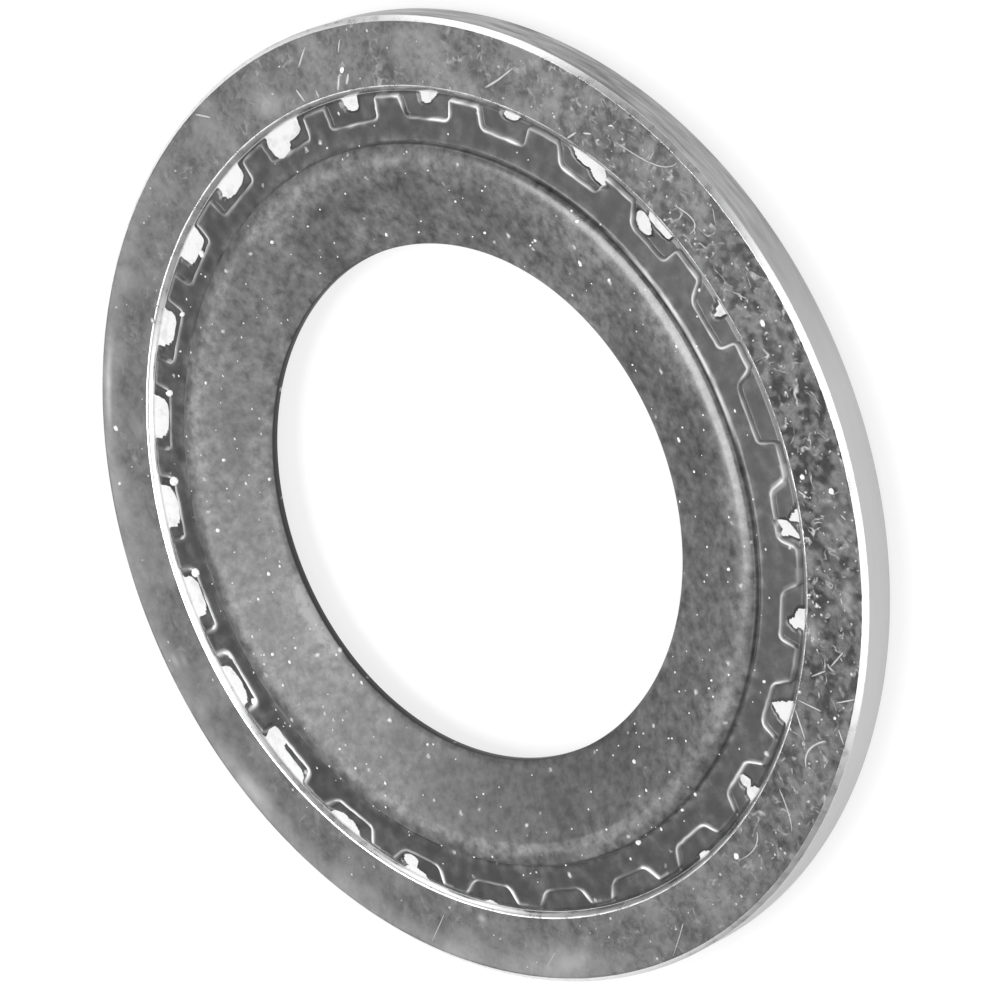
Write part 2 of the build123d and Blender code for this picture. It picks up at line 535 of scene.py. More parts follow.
# How pitted the face is round the ring; angles in degrees clockwise from +X
FACE_LOOK = (
    (0, 0.85),
    (25, 0.8),
    (50, 0.6),
    (75, 0.34),
    (95, 0.2),
    (120, 0.12),
    (150, 0.08),
    (180, 0.1),
    (230, 0.1),
    (265, 0.28),
    (300, 0.36),
    (325, 0.45),
    (345, 0.7),
)
# Light patches, partly rubbed wear and partly painted sheen (those along the far side's outer
# edge): angle, radius (mm), half angle, half radius (mm), strength
RUBBED_AND_SHEEN_PATCHES = (
    (153.0, 13.5, 8.0, 0.45, 0.24),
    (209.5, 13.62, 6.0, 0.13, 0.4),
    (23.0, 13.4, 3.0, 0.24, 0.14),
    (29.0, 12.3, 2.0, 0.25, 0.14),
    (262.0, 12.6, 3.0, 0.34, 0.14),
    (172.5, 13.42, 1.2, 0.15, 0.22),
    (172.0, 13.08, 1.2, 0.15, 0.18),
    (112.8, 12.38, 0.8, 0.14, 0.26),
    (96.0, 13.4, 14.0, 0.6, 0.12),
    (334.0, 13.3, 4.0, 0.4, 0.14),
)
# How much the rim wall is streaked, and how light it is painted round the ring: the lightness is a
# painted reflection, lightest on the near side
WALL_LOOK = (
    (0, 0.05, 0.85),
    (40, 0.05, 0.9),
    (75, 0.2, 0.6),
    (250, 0.5, 0.2),
    (300, 0.7, 0.05),
    (335, 0.4, 0.3),
    (350, 0.1, 0.65),
)


def face_relief(angle, radius, depth):
    """How far the band's surface is eaten away, how pitted it looks, and how light it is painted:
    rubbed wear, and a painted sheen along the far side's outer edge.
    """
    pitted = round_table(angle, FACE_LOOK, 1)
    coarse = patches(angle, radius, 0.26, seed=11)
    fine = patches(angle, radius, 0.14, seed=12)
    pits = smooth(0.55 * coarse + 0.45 * fine, 0.36, 0.66)
    waves = patches(angle, radius, 1.4, seed=13)
    where = patches(angle, radius, 1.1, seed=14)
    # A painted sheen: the far side is painted lighter towards the outer edge
    outward = smooth(radius / MM, 12.9, 13.9) * sector(angle, -168, 45, 40)
    broken = 0.15 + 0.6 * where + 0.5 * patches(angle, radius, 0.33, seed=15)
    rubbed_and_sheen = 0.06 * smooth(where, 0.55, 0.9) + 0.13 * outward
    for middle, at, half_angle, half_radius, strength in RUBBED_AND_SHEEN_PATCHES:
        across = (np.mod(clockwise(angle) - middle + 180, 360) - 180) / half_angle
        along = (radius / MM - at) / half_radius
        rubbed_and_sheen = rubbed_and_sheen + strength * broken * np.exp(-1.5 * (across**2 + along**2))
    look = pitted * (0.32 + 0.68 * pits)
    wave_depth = 0.003 * MM
    return depth * pits * pitted + wave_depth * waves, look, rubbed_and_sheen


class WASHER_OT_metal_ring(bpy.types.Operator):
    """Build the worn steel ring in place of its plain solid"""

    bl_idname = "washer.metal_ring"
    bl_label = "Steel Ring"

    def execute(self, context):
        s = context.scene.washer_ring
        columns, under_columns = 1440, 720
        ledge_rings, face_rings, wall_rings = 3, 31, 10
        under_turn = 2.0  # radians, so that the two faces are worn differently
        shoulder = OUTER_RADIUS - s.band_width
        ledge = FACE - s.ledge_drop
        hidden = shoulder - s.ledge_width
        band, edge, spot, wall = 0, 1, 2, 3  # places in the list of materials
        rings, pitting, rubbed_and_sheen, row_slots = [], [], [], []

        def add(count, radius, height, slot, side=1, worn=False):
            """One ring of points; worn ones are eaten into the face."""
            angle = np.arange(count) * (2 * math.pi / count)
            eaten = pits = light = np.zeros(count)
            if worn:
                turned = angle + (0 if side > 0 else under_turn)
                eaten, pits, light = face_relief(turned, radius, s.pit_depth)
            if slot == wall:
                # The wall's streaking, and how light it is painted round the ring as a reflection
                pits, light = round_table(angle, WALL_LOOK, 1), round_table(angle, WALL_LOOK, 2)
                unrolled = OUTER_RADIUS + FACE - height
                eaten = 0.3 * face_relief(angle, unrolled, s.pit_depth)[0] * pits
                rings.append(ring_points(angle, radius - eaten, side * height))
            else:
                rings.append(ring_points(angle, radius, side * (height - eaten)))
            pitting.append(pits)
            rubbed_and_sheen.append(light)
            row_slots.append(slot)

        def bevel(count, start, width, rows, side=1):
            """The rings of one bevel; its width is negative where it runs inwards."""
            for across, down in rows:
                add(count, start + across * width, FACE - down * abs(width), edge, side)

        face_start = shoulder + 1.3 * s.shoulder_bevel
        face_rows = np.linspace(face_start, OUTER_RADIUS - s.rim_bevel, face_rings)
        wall_top = FACE - 1.05 * s.rim_bevel
        wall_rows = np.linspace(wall_top, -wall_top, wall_rings)
        # Share of each bevel's width and depth at its rows, from the wall to the face
        shoulder_rows = ((-0.35, 1.25), (0.05, 0.8), (0.45, 0.36), (0.8, 0.12), (1.05, 0.03))
        rim_rows = ((0.97, 0.02), (0.93, 0.07), (0.07, 0.93), (0.02, 0.97))
        # Top: ledge, wall and bevel of the shoulder, then the band's face
        for radius in np.linspace(hidden, shoulder - 0.085 * MM, ledge_rings):
            add(columns, radius, ledge, spot)
        add(columns, shoulder - 0.05 * MM, ledge + 0.01 * MM, spot)
        bevel(columns, shoulder, s.shoulder_bevel, shoulder_rows)
        for radius in face_rows:
            add(columns, radius, FACE, band, worn=True)
        row_slots[-1] = edge
        bevel(columns, OUTER_RADIUS, -s.rim_bevel, rim_rows)
        for height in wall_rows:
            add(columns, OUTER_RADIUS, height, wall)
        # Underside
        bevel(under_columns, OUTER_RADIUS, -s.rim_bevel, rim_rows[::-1], side=-1)
        for radius in face_rows[::-2]:
            add(under_columns, radius, FACE, band, side=-1, worn=True)
        row_slots[-1] = edge
        bevel(under_columns, shoulder, s.shoulder_bevel, shoulder_rows[::-1], side=-1)
        for radius in (shoulder - 0.07 * MM, (shoulder + hidden) / 2, hidden):
            add(under_columns, radius, ledge, spot, side=-1)
        materials = [
            plated_steel(s),
            bare_steel(s, "bright_worn_steel_edge", s.bare, 1.0, 0.24, 0.36),
            # The bare spots: bare steel, with a painted reflection in its near-white tone
            bare_steel(s, "matt_bare_steel_painted_sheen", s.spot, 0.35, 0.7, 0.85),
            sheared_steel(s),
        ]
        marks = {"pitting": pitting, "rubbed_and_sheen": rubbed_and_sheen}
        piece = ring_object("worn_steel_ring", rings, marks, row_slots, materials)
        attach(piece, "root")
        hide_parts("metal_ring")
        return {"FINISHED"}


# How a pocket's outline varies round the ring, as the worn mould left it. Each
# row: angle in degrees clockwise from +X, the width of its inner end (mm), the
# flare of its two side walls in degrees (the one met first going clockwise,
# then the other), how far its inner end lies outside the bead's foot (mm), how
# far it sits clockwise of its pitch (degrees), and the run of its walls (mm).
POCKET_SHAPE = (
    (0, 1.6, 30, 12, 0.65, -0.4, 0.06),
    (14, 1.3, 31, 22, 0.67, 0.0, 0.06),
    (28, 1.3, 36, 13, 0.7, 0.5, 0.06),
    (42, 1.25, 36, 22, 0.7, 0.3, 0.06),
    (56, 1.25, 36, 30, 0.72, 0.0, 0.06),
    (83, 1.3, 36, 35, 0.72, 0.2, 0.06),
    (111, 1.25, 34, 38, 0.73, -0.3, 0.06),
    (125, 1.3, 30, 38, 0.73, -0.5, 0.07),
    (139, 1.45, 20, 33, 0.72, -0.8, 0.1),
    (152, 1.65, 10, 18, 0.69, -0.4, 0.13),
    (166, 1.75, 5, 10, 0.66, -0.6, 0.13),
    (180, 1.85, 5, 8, 0.65, -1.2, 0.12),
    (194, 1.85, 5, 8, 0.65, -0.8, 0.1),
    (208, 1.85, 5, 8, 0.64, -0.8, 0.09),
    (222, 1.75, 10, 8, 0.6, -0.9, 0.08),
    (235, 1.75, 8, 8, 0.59, -1.1, 0.07),
    (263, 1.7, 10, 8, 0.6, -0.4, 0.06),
    (277, 1.8, 8, 8, 0.62, -0.5, 0.06),
    (291, 1.55, 20, 6, 0.67, -0.3, 0.06),
    (305, 1.5, 20, 8, 0.67, -0.3, 0.06),
    (318, 1.35, 28, 10, 0.69, -0.2, 0.06),
    (332, 1.35, 30, 12, 0.67, -0.2, 0.06),
    (346, 1.45, 32, 12, 0.66, 0.0, 0.06),
)
# How bright the pale flash lines are painted round the ring: they are mostly
# painted highlights of the pocket's edges, with some real flash. Each row:
# angle in degrees clockwise from +X, then the pocket's inner line, its two side
# walls in the same order, the tooth's tip, and the pocket's whole inner wall.
FLASH_LOOK = (
    (10, 0.4, 0.9, 0.6, 0.4, 0.0),
    (28, 0.5, 0.85, 0.6, 0.25, 0.0),
    (40, 0.35, 0.65, 0.8, 0.25, 0.0),
    (54, 0.6, 0.85, 0.65, 0.05, 0.0),
    (68, 0.5, 0.8, 0.5, 0.0, 0.0),
    (82, 0.24, 1.0, 0.5, 0.0, 0.0),
    (110, 0.18, 0.95, 0.5, 0.0, 0.0),
    (124, 0.26, 0.9, 0.45, 0.0, 0.0),
    (138, 0.6, 0.85, 0.5, 0.0, 0.3),
    (150, 0.6, 0.7, 0.3, 0.0, 1.0),
    (165, 0.6, 0.5, 0.5, 0.0, 1.0),
    (180, 0.32, 0.08, 0.3, 0.04, 0.7),
    (210, 0.26, 0.06, 0.26, 0.08, 0.5),
    (225, 0.28, 0.12, 0.28, 0.14, 0.3),
    (240, 0.3, 0.16, 0.32, 0.18, 0.1),
    (255, 0.28, 0.2, 0.4, 0.22, 0.0),
    (270, 0.28, 0.22, 0.6, 0.22, 0.0),
    (284, 0.8, 0.5, 0.8, 0.7, 0.0),
    (300, 0.9, 0.6, 0.85, 0.8, 0.0),
    (318, 0.85, 0.65, 0.9, 0.6, 0.0),
    (335, 0.45, 0.55, 0.65, 0.6, 0.0),
    (345, 0.45, 0.55, 0.7, 0.45, 0.0),
    (356, 0.35, 0.6, 0.5, 0.6, 0.0),
)


def rounded(first, second, corner):
    """Signed distance to the meeting of two edges, negative inside both, with a
    rounded corner."""
    q1, q2 = first + corner, second + corner
    outside = np.hypot(np.maximum(q1, 0), np.maximum(q2, 0))
    return np.minimum(np.maximum(q1, q2), 0) + outside - corner


def pocket_shapes(bead_radius):
    """Each pocket's inner width, two flares, end radius, lag and wall run, in
    metres and radians."""
    places = np.arange(TEETH) * PITCH
    width, first, second, end, lag, run = (
        round_table(places, POCKET_SHAPE, column) for column in range(1, 7)
    )
    return (
        width * MM, np.radians(first), np.radians(second),
        bead_radius + end * MM, np.radians(lag), run * MM,
    )


def outline(radius, arc, shape, corner):
    """Distance outside a pocket's outline, negative inside, at arc from its middle."""
    width, first, second, end_radius = shape
    end = end_radius - radius * np.cos(arc / radius)
    flare = np.where(arc > 0, first, second)
    side = (np.abs(arc) - width / 2 + end * np.tan(flare)) * np.cos(flare)
    return rounded(end, side, corner)


def toothed_arc(radius, shapes, cells, evenness):
    """Places of one ring's points across each pitch, close together at the
    pocket's side walls."""
    width, first, second, end, lag, _ = shapes
    half = PITCH / 2 * radius
    sides = []
    for flare, shift in ((first, -lag * radius), (second, lag * radius)):
        wall = width / 2 + shift + np.maximum(0.0, radius - end) * np.tan(flare)
        wall = np.minimum(wall, half - 0.16 * MM)
        stops = [0 * wall, wall - 0.1 * MM, wall + 0.07 * MM, half + 0 * wall]
        sides.append(np.concatenate([
            np.linspace(a, b, n, endpoint=False) for a, b, n in zip(stops, stops[1:], cells)
        ]))
    ends = np.full((1, TEETH), half)
    arc = np.concatenate([-np.concatenate([sides[1], ends])[:0:-1], sides[0]]).T
    plain = np.linspace(-half, half, arc.shape[1], endpoint=False)
    return arc * (1 - evenness) + plain * evenness


def bare_spot_edge(radius, shoulder, angle):
    """Distance outside the nearest bare spot, negative inside."""
    edge = np.full(angle.shape, 1.0 * MM)
    for middle, inward, half_width, half_length, power, lean in BARE_SPOTS:
        turn = np.mod(-angle - math.radians(middle) + math.pi, 2 * math.pi) - math.pi
        depth = shoulder - radius
        across = np.abs(turn * radius - lean * depth) / (half_width * MM)
        along = abs(depth - inward * MM) / (half_length * MM)
        reach = (across**power + along**power) ** (1 / power) - 1
        edge = np.minimum(edge, reach * min(half_width, half_length) * MM)
    return edge


def seal_profile(s):
    """Radius and height of the bead, the lip and the bore's edge, from the bead's
    foot inwards."""
    lean, cone = math.radians(18), math.radians(15.8)
    crown_middle = s.bead_radius - 0.45 * MM
    foot = FACE - s.skirt_drop
    profile = [
        (s.bead_radius - 0.004 * MM, foot + 0.012 * MM),
        (s.bead_radius - 0.02 * MM, foot + 0.04 * MM),
    ]
    edge_r = crown_middle + s.crown_radius * math.sin(lean)
    edge_h = CREST - s.crown_radius * (1 - math.cos(lean))
    for a in np.radians([86, 74, 62, 50, 38, 27]):
        profile.append((
            edge_r + s.edge_radius * (math.sin(a) - math.sin(lean)),
            edge_h - s.edge_radius * (math.cos(lean) - math.cos(a)),
        ))
    for a in np.linspace(lean, -cone, 11):
        profile.append((
            crown_middle + s.crown_radius * math.sin(a),
            CREST - s.crown_radius * (1 - math.cos(a)),
        ))
    start, land = profile[-1], (s.bore_radius, s.land_height / 2)
    for t in np.linspace(0, 1, 12)[1:-1]:
        profile.append((start[0] + (land[0] - start[0]) * t, start[1] + (land[1] - start[1]) * t))
    return profile + [(land[0] + 0.03 * MM, land[1] + 0.006 * MM), (land[0], land[1] - 0.025 * MM)]


class WASHER_OT_rubber_seal(bpy.types.Operator):
    """Build the moulded rubber seal in place of its plain solid"""

    bl_idname = "washer.rubber_seal"
    bl_label = "Rubber Seal"

    def toothed_zone(self, s, ring, side, cells, radii):
        """Rings of the toothed skirt, outermost first, for one face."""
        shoulder = OUTER_RADIUS - ring.band_width
        tip = shoulder - s.tooth_gap
        ledge = FACE - ring.ledge_drop
        skirt = FACE - s.skirt_drop
        shapes = pocket_shapes(s.bead_radius)
        width, first_flare, second_flare, end, lag, run = (values[:, None] for values in shapes)
        under_turn = 0.9  # radians, so that the two faces' bare spots differ
        even, toothed = 10.62 * MM, 11.0 * MM  # points are spread evenly near the bead
        rows = []
        for radius in radii:
            evenness = float(1 - smooth(radius, even, toothed))
            arc = toothed_arc(radius, shapes, cells, evenness)
            angle = (np.arange(TEETH) * PITCH)[:, None] + arc / radius
            ragged = (patches(angle, radius, 0.2, seed=21 + side) - 0.5) * 0.06 * MM
            arc = arc + lag * radius
            pocket = outline(radius, arc, (width, first_flare, second_flare, end), s.pocket_corner)
            tooth = -rounded(-pocket, radius - tip, 0.09 * MM) + 0.4 * ragged
            climb = smooth(tooth / run, -1.0, 0.0)
            thin = smooth(radius, tip + 0.02 * MM, tip + 0.13 * MM)
            floor = ledge + s.skin - (s.skin - 0.012 * MM) * thin
            height = floor + (skirt - floor) * climb
            # A thin raised lip of flash runs along the teeth's edges
            lip = np.exp(-(((tooth - 0.02 * MM) / (0.028 * MM)) ** 2))
            height = height + 0.012 * MM * lip
            turned = angle if side > 0 else angle + under_turn
            spots = bare_spot_edge(radius, shoulder, turned) + ragged
            open_floor = 1 - smooth(spots, -0.02 * MM, 0.02 * MM)
            height = height * (1 - open_floor) + (ledge - 0.03 * MM) * open_floor
            # The pale flash lines are mostly painted highlights of the pocket edges: how
            # bright they are painted differs by side and by place round the ring
            inner, first, second, tips, inner_wall = (
                round_table(angle, FLASH_LOOK, column) for column in range(1, 6)
            )
            first_side = smooth(arc - width / 2, -0.2 * MM, 0.0)
            second_side = smooth(-arc - width / 2, -0.2 * MM, 0.0)
            along = inner + (first - inner) * first_side + (second - inner) * second_side
            outward = smooth(radius, tip - 0.12 * MM, tip - 0.03 * MM)
            along = along + (tips - along) * outward
            spread = 0.042 + 0.034 * np.maximum(first_side * smooth(first, 0.7, 1.0), inner_wall)
            line = np.exp(-(((tooth - 0.01 * MM) / (spread * MM)) ** 2))
            uneven = np.clip(0.1 + 1.25 * patches(angle, radius, 0.45, seed=31), 0, 1)
            wall = smooth(climb, 0.02, 0.2) * (1 - outward) * inner_wall
            wall = wall * (1 - smooth(tooth, 0.0, 0.03 * MM))
            wall = wall * smooth(shoulder - radius, 0.5 * MM, 0.62 * MM)
            flash_and_highlight = 1.3 * uneven * along * line + (0.4 + 0.7 * uneven) * wall
            rows.append((angle.ravel(), radius, height.ravel(), np.clip(flash_and_highlight, 0, 1).ravel()))
        return rows

    def execute(self, context):
        s, ring = context.scene.washer_seal, context.scene.washer_ring
        shoulder = OUTER_RADIUS - ring.band_width
        ledge = FACE - ring.ledge_drop
        hidden = shoulder - ring.ledge_width
        bond = ledge - 0.05 * MM  # the hidden rubber reaches a little into the ledge
        # Points per half pocket's end, wall and tooth: twice as many on top, and
        # a whole factor apart, so that the rings meet without a gap
        fine = (10, 10, 6)
        coarse = (5, 5, 3)
        outer = np.array([0, 0.03, 0.06, 0.09, 0.12, 0.145, 0.17, 0.195, 0.22, 0.25])
        walls = np.arange(0.62, 0.9, 0.022)
        radii = shoulder - MM * np.concatenate(
            [outer, np.arange(0.29, 0.6, 0.04), walls, [0.95, 1.05, 1.15, 1.25, 1.33, 1.4]]
        )
        under = shoulder - MM * np.concatenate(
            [outer[::2], np.arange(0.29, 0.6, 0.08), walls[::2], [1.0, 1.2, 1.4]]
        )
        top_rows = self.toothed_zone(s, ring, 1, fine, radii)
        under_rows = self.toothed_zone(s, ring, -1, coarse, under)
        rings, flash_and_highlight, bloom_and_highlight, shine = [], [], [], []

        def add(angle, radius, height, edge=0.0):
            rings.append(ring_points(angle, radius, height))
            # A painted highlight: the bead's foot is painted pale on the near side
            if abs(radius - s.bead_radius) < 0.025 * MM:
                edge = 1.3 * sector(angle, 15, 11, 9) * patches(angle, radius, 0.5, seed=33)
                edge = np.clip(edge, 0, 1)
            flash_and_highlight.append(np.broadcast_to(edge, angle.shape))
            # Pale bloom lies along the crest's middle and over the lip
            reach = (7.5, 7.9, 8.6, 9.3, 9.7, 10.0, 10.25, 10.42, 10.55, 10.8, 11.2)
            share = (0.48, 0.42, 0.40, 0.42, 0.52, 0.62, 0.44, 0.42, 0.2, 0.08, 0.10)
            dust = np.interp(radius / MM, reach, share) * (abs(height) > 0.11 * MM)
            if radius > s.bead_radius:
                dust = dust * (0.2 + 2.2 * patches(angle, radius, 0.3, seed=37))
            # The bloom is cut back in one sector of the lip, and raised in another
            if radius < 9.8 * MM:
                thin, thick = sector(angle, -98, 18, 28), sector(angle, 33, 6, 22)
                dust = dust * (1 - 0.4 * thin + 0.3 * thick)
            # A painted highlight: the lip is painted paler by the bore at the back
            back = 0.5 * sector(angle, -166, 5, 8) * float(smooth(radius / MM, 8.15, 7.7))
            bloom_and_highlight.append(np.clip(dust + back * (dust > 0), 0, 1) + 0 * angle)
            # The skirt is smooth, and the crest is worn smooth on the near side
            gloss = np.interp(radius / MM, (9.85, 10.15, 10.45, 10.55), (0.15, 1.0, 1.0, 0.6))
            if radius < 10.5 * MM:
                gloss = gloss * (0.3 + 0.7 * sector(angle, 12, 35, 60))
            shine.append(np.broadcast_to(gloss, angle.shape))

        profile = seal_profile(s)
        for angle, radius, height, edge in top_rows:
            add(angle, radius, height, edge)
        coarse_angle = top_rows[-1][0][::4]
        for radius, height in profile:
            add(coarse_angle, radius, height)
        add(coarse_angle, s.bore_radius, 0.0)
        for radius, height in profile[::-1]:
            add(coarse_angle, radius, -height)
        for angle, radius, height, edge in under_rows[::-1]:
            add(angle, radius, -height, edge)
        # Hidden bond faces round the ledge
        add(coarse_angle, shoulder, -bond)
        add(coarse_angle, hidden, -bond)
        add(coarse_angle, hidden, bond)
        add(top_rows[0][0], shoulder, bond)
        # The rings ran inwards over the top; turned round, their faces look outwards
        for rows in (rings, flash_and_highlight, bloom_and_highlight, shine):
            rows.reverse()
        marks = {"flash_and_highlight": flash_and_highlight, "bloom_and_highlight": bloom_and_highlight, "shine": shine}
        piece = ring_object(
            "moulded_rubber_seal", rings, marks, [0] * len(rings), [moulded_rubber(s)]
        )
        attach(piece, "root")
        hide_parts("rubber_seal")
        return {"FINISHED"}


# Scratches on the band's face: their width in mm, then points as degrees
# clockwise from +X and radius in mm
SCRATCHES = (
    (0.1, (300.8, 12.4), (302.8, 12.75), (304.7, 13.2)),
    (0.08, (270.0, 13.1), (272.1, 13.55)),
    (0.12, (275.3, 12.15), (276.3, 12.55)),
    (0.12, (277.1, 12.25), (277.9, 12.52)),
    (0.06, (277.1, 13.15), (277.9, 13.5)),
    (0.09, (268.2, 12.55), (268.9, 12.15)),
    (0.07, (271.5, 12.32), (271.6, 12.1)),
    (0.09, (250.9, 13.76), (252.7, 13.35)),
    (0.09, (314.8, 12.1), (315.8, 12.4)),
    (0.09, (316.8, 12.5), (317.9, 12.62)),
    (0.05, (321.5, 12.9), (327.3, 13.18), (329.6, 13.75)),
    (0.06, (332.2, 12.72), (335.4, 12.88), (336.0, 12.5)),
    (0.04, (100.8, 13.1), (102.6, 13.5)),
    (0.04, (119.3, 12.7), (121.0, 13.7)),
    (0.04, (78.3, 13.1), (82.3, 13.8)),
    (0.06, (35.1, 13.85), (36.6, 13.3)),
    (0.1, (41.9, 13.25), (44.3, 12.86), (46.6, 12.95)),
    (0.06, (38.6, 12.9), (38.8, 12.12)),
    (0.06, (43.3, 12.65), (41.5, 12.32), (40.3, 12.12)),
    (0.06, (39.6, 13.55), (41.0, 13.82)),
    (0.06, (59.3, 12.58), (61.3, 12.8), (64.3, 12.7)),
    (0.05, (51.8, 12.5), (53.8, 13.1), (55.3, 13.4)),
    (0.07, (30.1, 13.3), (32.5, 12.95)),
    (0.07, (33.3, 12.8), (34.8, 12.4)),
    (0.06, (10.6, 12.15), (11.6, 12.45)),
    (0.06, (13.6, 13.42), (14.2, 13.56)),
)
# Bright knocks on the face, then crumbs of dust and flash on the rubber: angle in
# degrees clockwise from +X, radius and half width in mm. The larger crumbs by
# the far pockets' inner corners are pale domes standing for glints there,
# painted highlights.
KNOCKS = (
    (25.3, 12.4, 0.09), (24.1, 12.15, 0.07), (26.3, 12.55, 0.06), (24.0, 12.4, 0.06),
    (37.6, 12.12, 0.085), (32.3, 13.65, 0.075), (10.8, 12.4, 0.06), (358.5, 12.7, 0.06),
    (58.3, 13.58, 0.06), (58.3, 13.4, 0.05), (50.3, 13.42, 0.055), (347.3, 12.7, 0.06),
    (312.1, 12.45, 0.06), (319.1, 12.6, 0.065), (299.5, 13.5, 0.045), (282.5, 13.62, 0.06),
    (89.6, 12.25, 0.06), (67.8, 13.45, 0.045), (221.1, 12.1, 0.11), (343.5, 13.55, 0.05),
    (68.5, 12.6, 0.05), (79.8, 13.15, 0.045), (105.8, 13.6, 0.05),
)
CRUMBS = (
    (0.1, 8.42, 0.075), (6.3, 8.65, 0.05), (22.8, 9.55, 0.065), (40.3, 9.95, 0.04),
    (43.6, 9.4, 0.045), (45.2, 9.4, 0.04), (56.8, 9.45, 0.045), (59.3, 9.02, 0.04),
    (63.8, 9.6, 0.04), (70.6, 8.62, 0.08), (70.6, 9.5, 0.05), (72.6, 9.5, 0.035),
    (67.8, 8.4, 0.035), (133.3, 9.5, 0.06), (127.8, 7.85, 0.055), (148.8, 7.66, 0.06),
    (151.3, 7.7, 0.05), (157.3, 7.72, 0.05), (148.5, 9.1, 0.06), (139.8, 9.7, 0.05),
    (144.3, 9.6, 0.05), (162.3, 9.1, 0.065), (163.8, 8.7, 0.055), (165.3, 9.45, 0.07),
    (169.8, 9.75, 0.05), (159.8, 9.7, 0.05), (175.3, 9.05, 0.06), (179.1, 8.42, 0.085),
    (179.8, 8.00, 0.055), (189.3, 9.6, 0.09), (192.8, 10.05, 0.05), (202.3, 9.05, 0.075),
    (197.8, 8.42, 0.05), (198.8, 7.66, 0.07), (216.3, 9.65, 0.06), (249.6, 9.42, 0.075),
    (274.6, 7.92, 0.065), (295.3, 8.92, 0.045), (301.3, 8.18, 0.06), (313.8, 8.75, 0.06),
    (324.3, 9.12, 0.09), (330.7, 9.5, 0.06), (321.3, 10.25, 0.075), (346.3, 10.1, 0.06),
    (358.5, 10.8, 0.05), (39.0, 10.95, 0.06), (81.6, 10.85, 0.05), (26.1, 10.8, 0.035),
    (63.3, 10.53, 0.07), (67.3, 10.56, 0.065), (73.1, 10.58, 0.055), (78.6, 10.54, 0.11),
    (147.8, 11.22, 0.15), (161.3, 11.22, 0.17), (161.5, 11.4, 0.14), (169.4, 11.2, 0.18),
    (182.9, 11.17, 0.19), (197.3, 11.17, 0.19), (211.3, 11.17, 0.14), (224.8, 11.1, 0.11),
    (235.9, 11.15, 0.12), (267.3, 11.45, 0.13), (281.0, 11.42, 0.11), (273.6, 11.52, 0.05),
    (310.6, 11.4, 0.05), (134.6, 11.25, 0.11), (218.8, 10.9, 0.045), (339.7, 11.32, 0.05),
    (341.8, 11.55, 0.06), (227.5, 11.1, 0.04), (87.6, 11.45, 0.075), (100.8, 11.42, 0.055),
)


def ribbon(width, stops, height):
    """A thin tapered ridge through the stops: points and faces, closed."""
    angles, radii = np.array(stops, float).T
    t = np.linspace(0, len(stops) - 1, 6 * len(stops))
    # A line through two stops, a curve through three
    angle = -np.radians(np.polyval(np.polyfit(range(len(stops)), angles, len(stops) - 1), t))
    radius = np.polyval(np.polyfit(range(len(stops)), radii, len(stops) - 1), t) * MM
    middle = np.column_stack([radius * np.cos(angle), radius * np.sin(angle)])
    ahead = np.gradient(middle, axis=0)
    across = np.column_stack([-ahead[:, 1], ahead[:, 0]]) / np.linalg.norm(ahead, axis=1)[:, None]
    taper = 0.06 + 0.94 * np.sin(np.linspace(0.15, 0.95, len(t)) * math.pi) ** 0.7
    half = taper * width / 2 * MM
    rows = []
    for side, lift in ((-1, -0.004), (0, 0.008), (1, -0.004)):
        flat = middle + across * (side * half)[:, None]
        rows.append(np.column_stack([flat, np.full(len(t), height + lift * MM)]))
    points = np.stack(rows, axis=1).reshape(-1, 3)
    faces = [[0, 1, 2], [len(points) - 1, len(points) - 2, len(points) - 3]]
    for i in range(len(t) - 1):
        for a, b in ((0, 1), (1, 2), (2, 0)):
            faces.append([3 * i + b, 3 * i + a, 3 * i + a + 3, 3 * i + b + 3])
    return points, faces


def crumb(clockwise_deg, radius_mm, half_mm, height, rng):
    """A small lumpy dome sunk a little into the surface: points and faces, closed."""
    a = -math.radians(clockwise_deg)
    centre = np.array([radius_mm * math.cos(a), radius_mm * math.sin(a)]) * MM
    count = 9
    spokes = np.arange(count) / count * 2 * math.pi + rng.random() * 2 * math.pi
    squash = rng.uniform(0.75, 1.25)
    points = []
    # It stays under the top of the crest: flatter there, and at the top sunk in it
    top = MIDDLE + CREST - 0.0005 * MM
    rise = max(min(half_mm * MM, 0.1 * MM, (top - height) / 0.6), 0.004 * MM)
    height = min(height, top - 0.6 * rise)
    for share, lift in ((1.0, -0.25), (0.95, 0.2), (0.6, 0.5)):
        reach = share * half_mm * MM * rng.uniform(0.82, 1.15, count)
        x, y = reach * np.cos(spokes) * squash, reach * np.sin(spokes) / squash
        z = np.full(count, height + lift * rise)
        points.append(np.column_stack([centre[0] + x, centre[1] + y, z]))
    points.append(np.array([[centre[0], centre[1], height + 0.6 * rise]]))
    faces = [list(range(count))[::-1]]
    for ring in (0, count):
        for i in range(count):
            j = (i + 1) % count
            faces.append([ring + i, ring + j, ring + count + j, ring + count + i])
    last, apex = 2 * count, 3 * count
    faces += [[last + i, last + (i + 1) % count, apex] for i in range(count)]
    return np.concatenate(points), faces


def joined_object(name, parts, material):
    """One mesh from many small closed parts."""
    points, faces, start = [], [], 0
    for own_points, own_faces in parts:
        points.append(own_points)
        faces += [[start + i for i in face] for face in own_faces]
        start += len(own_points)
    return new_object(name, np.concatenate(points).tolist(), faces, [material])


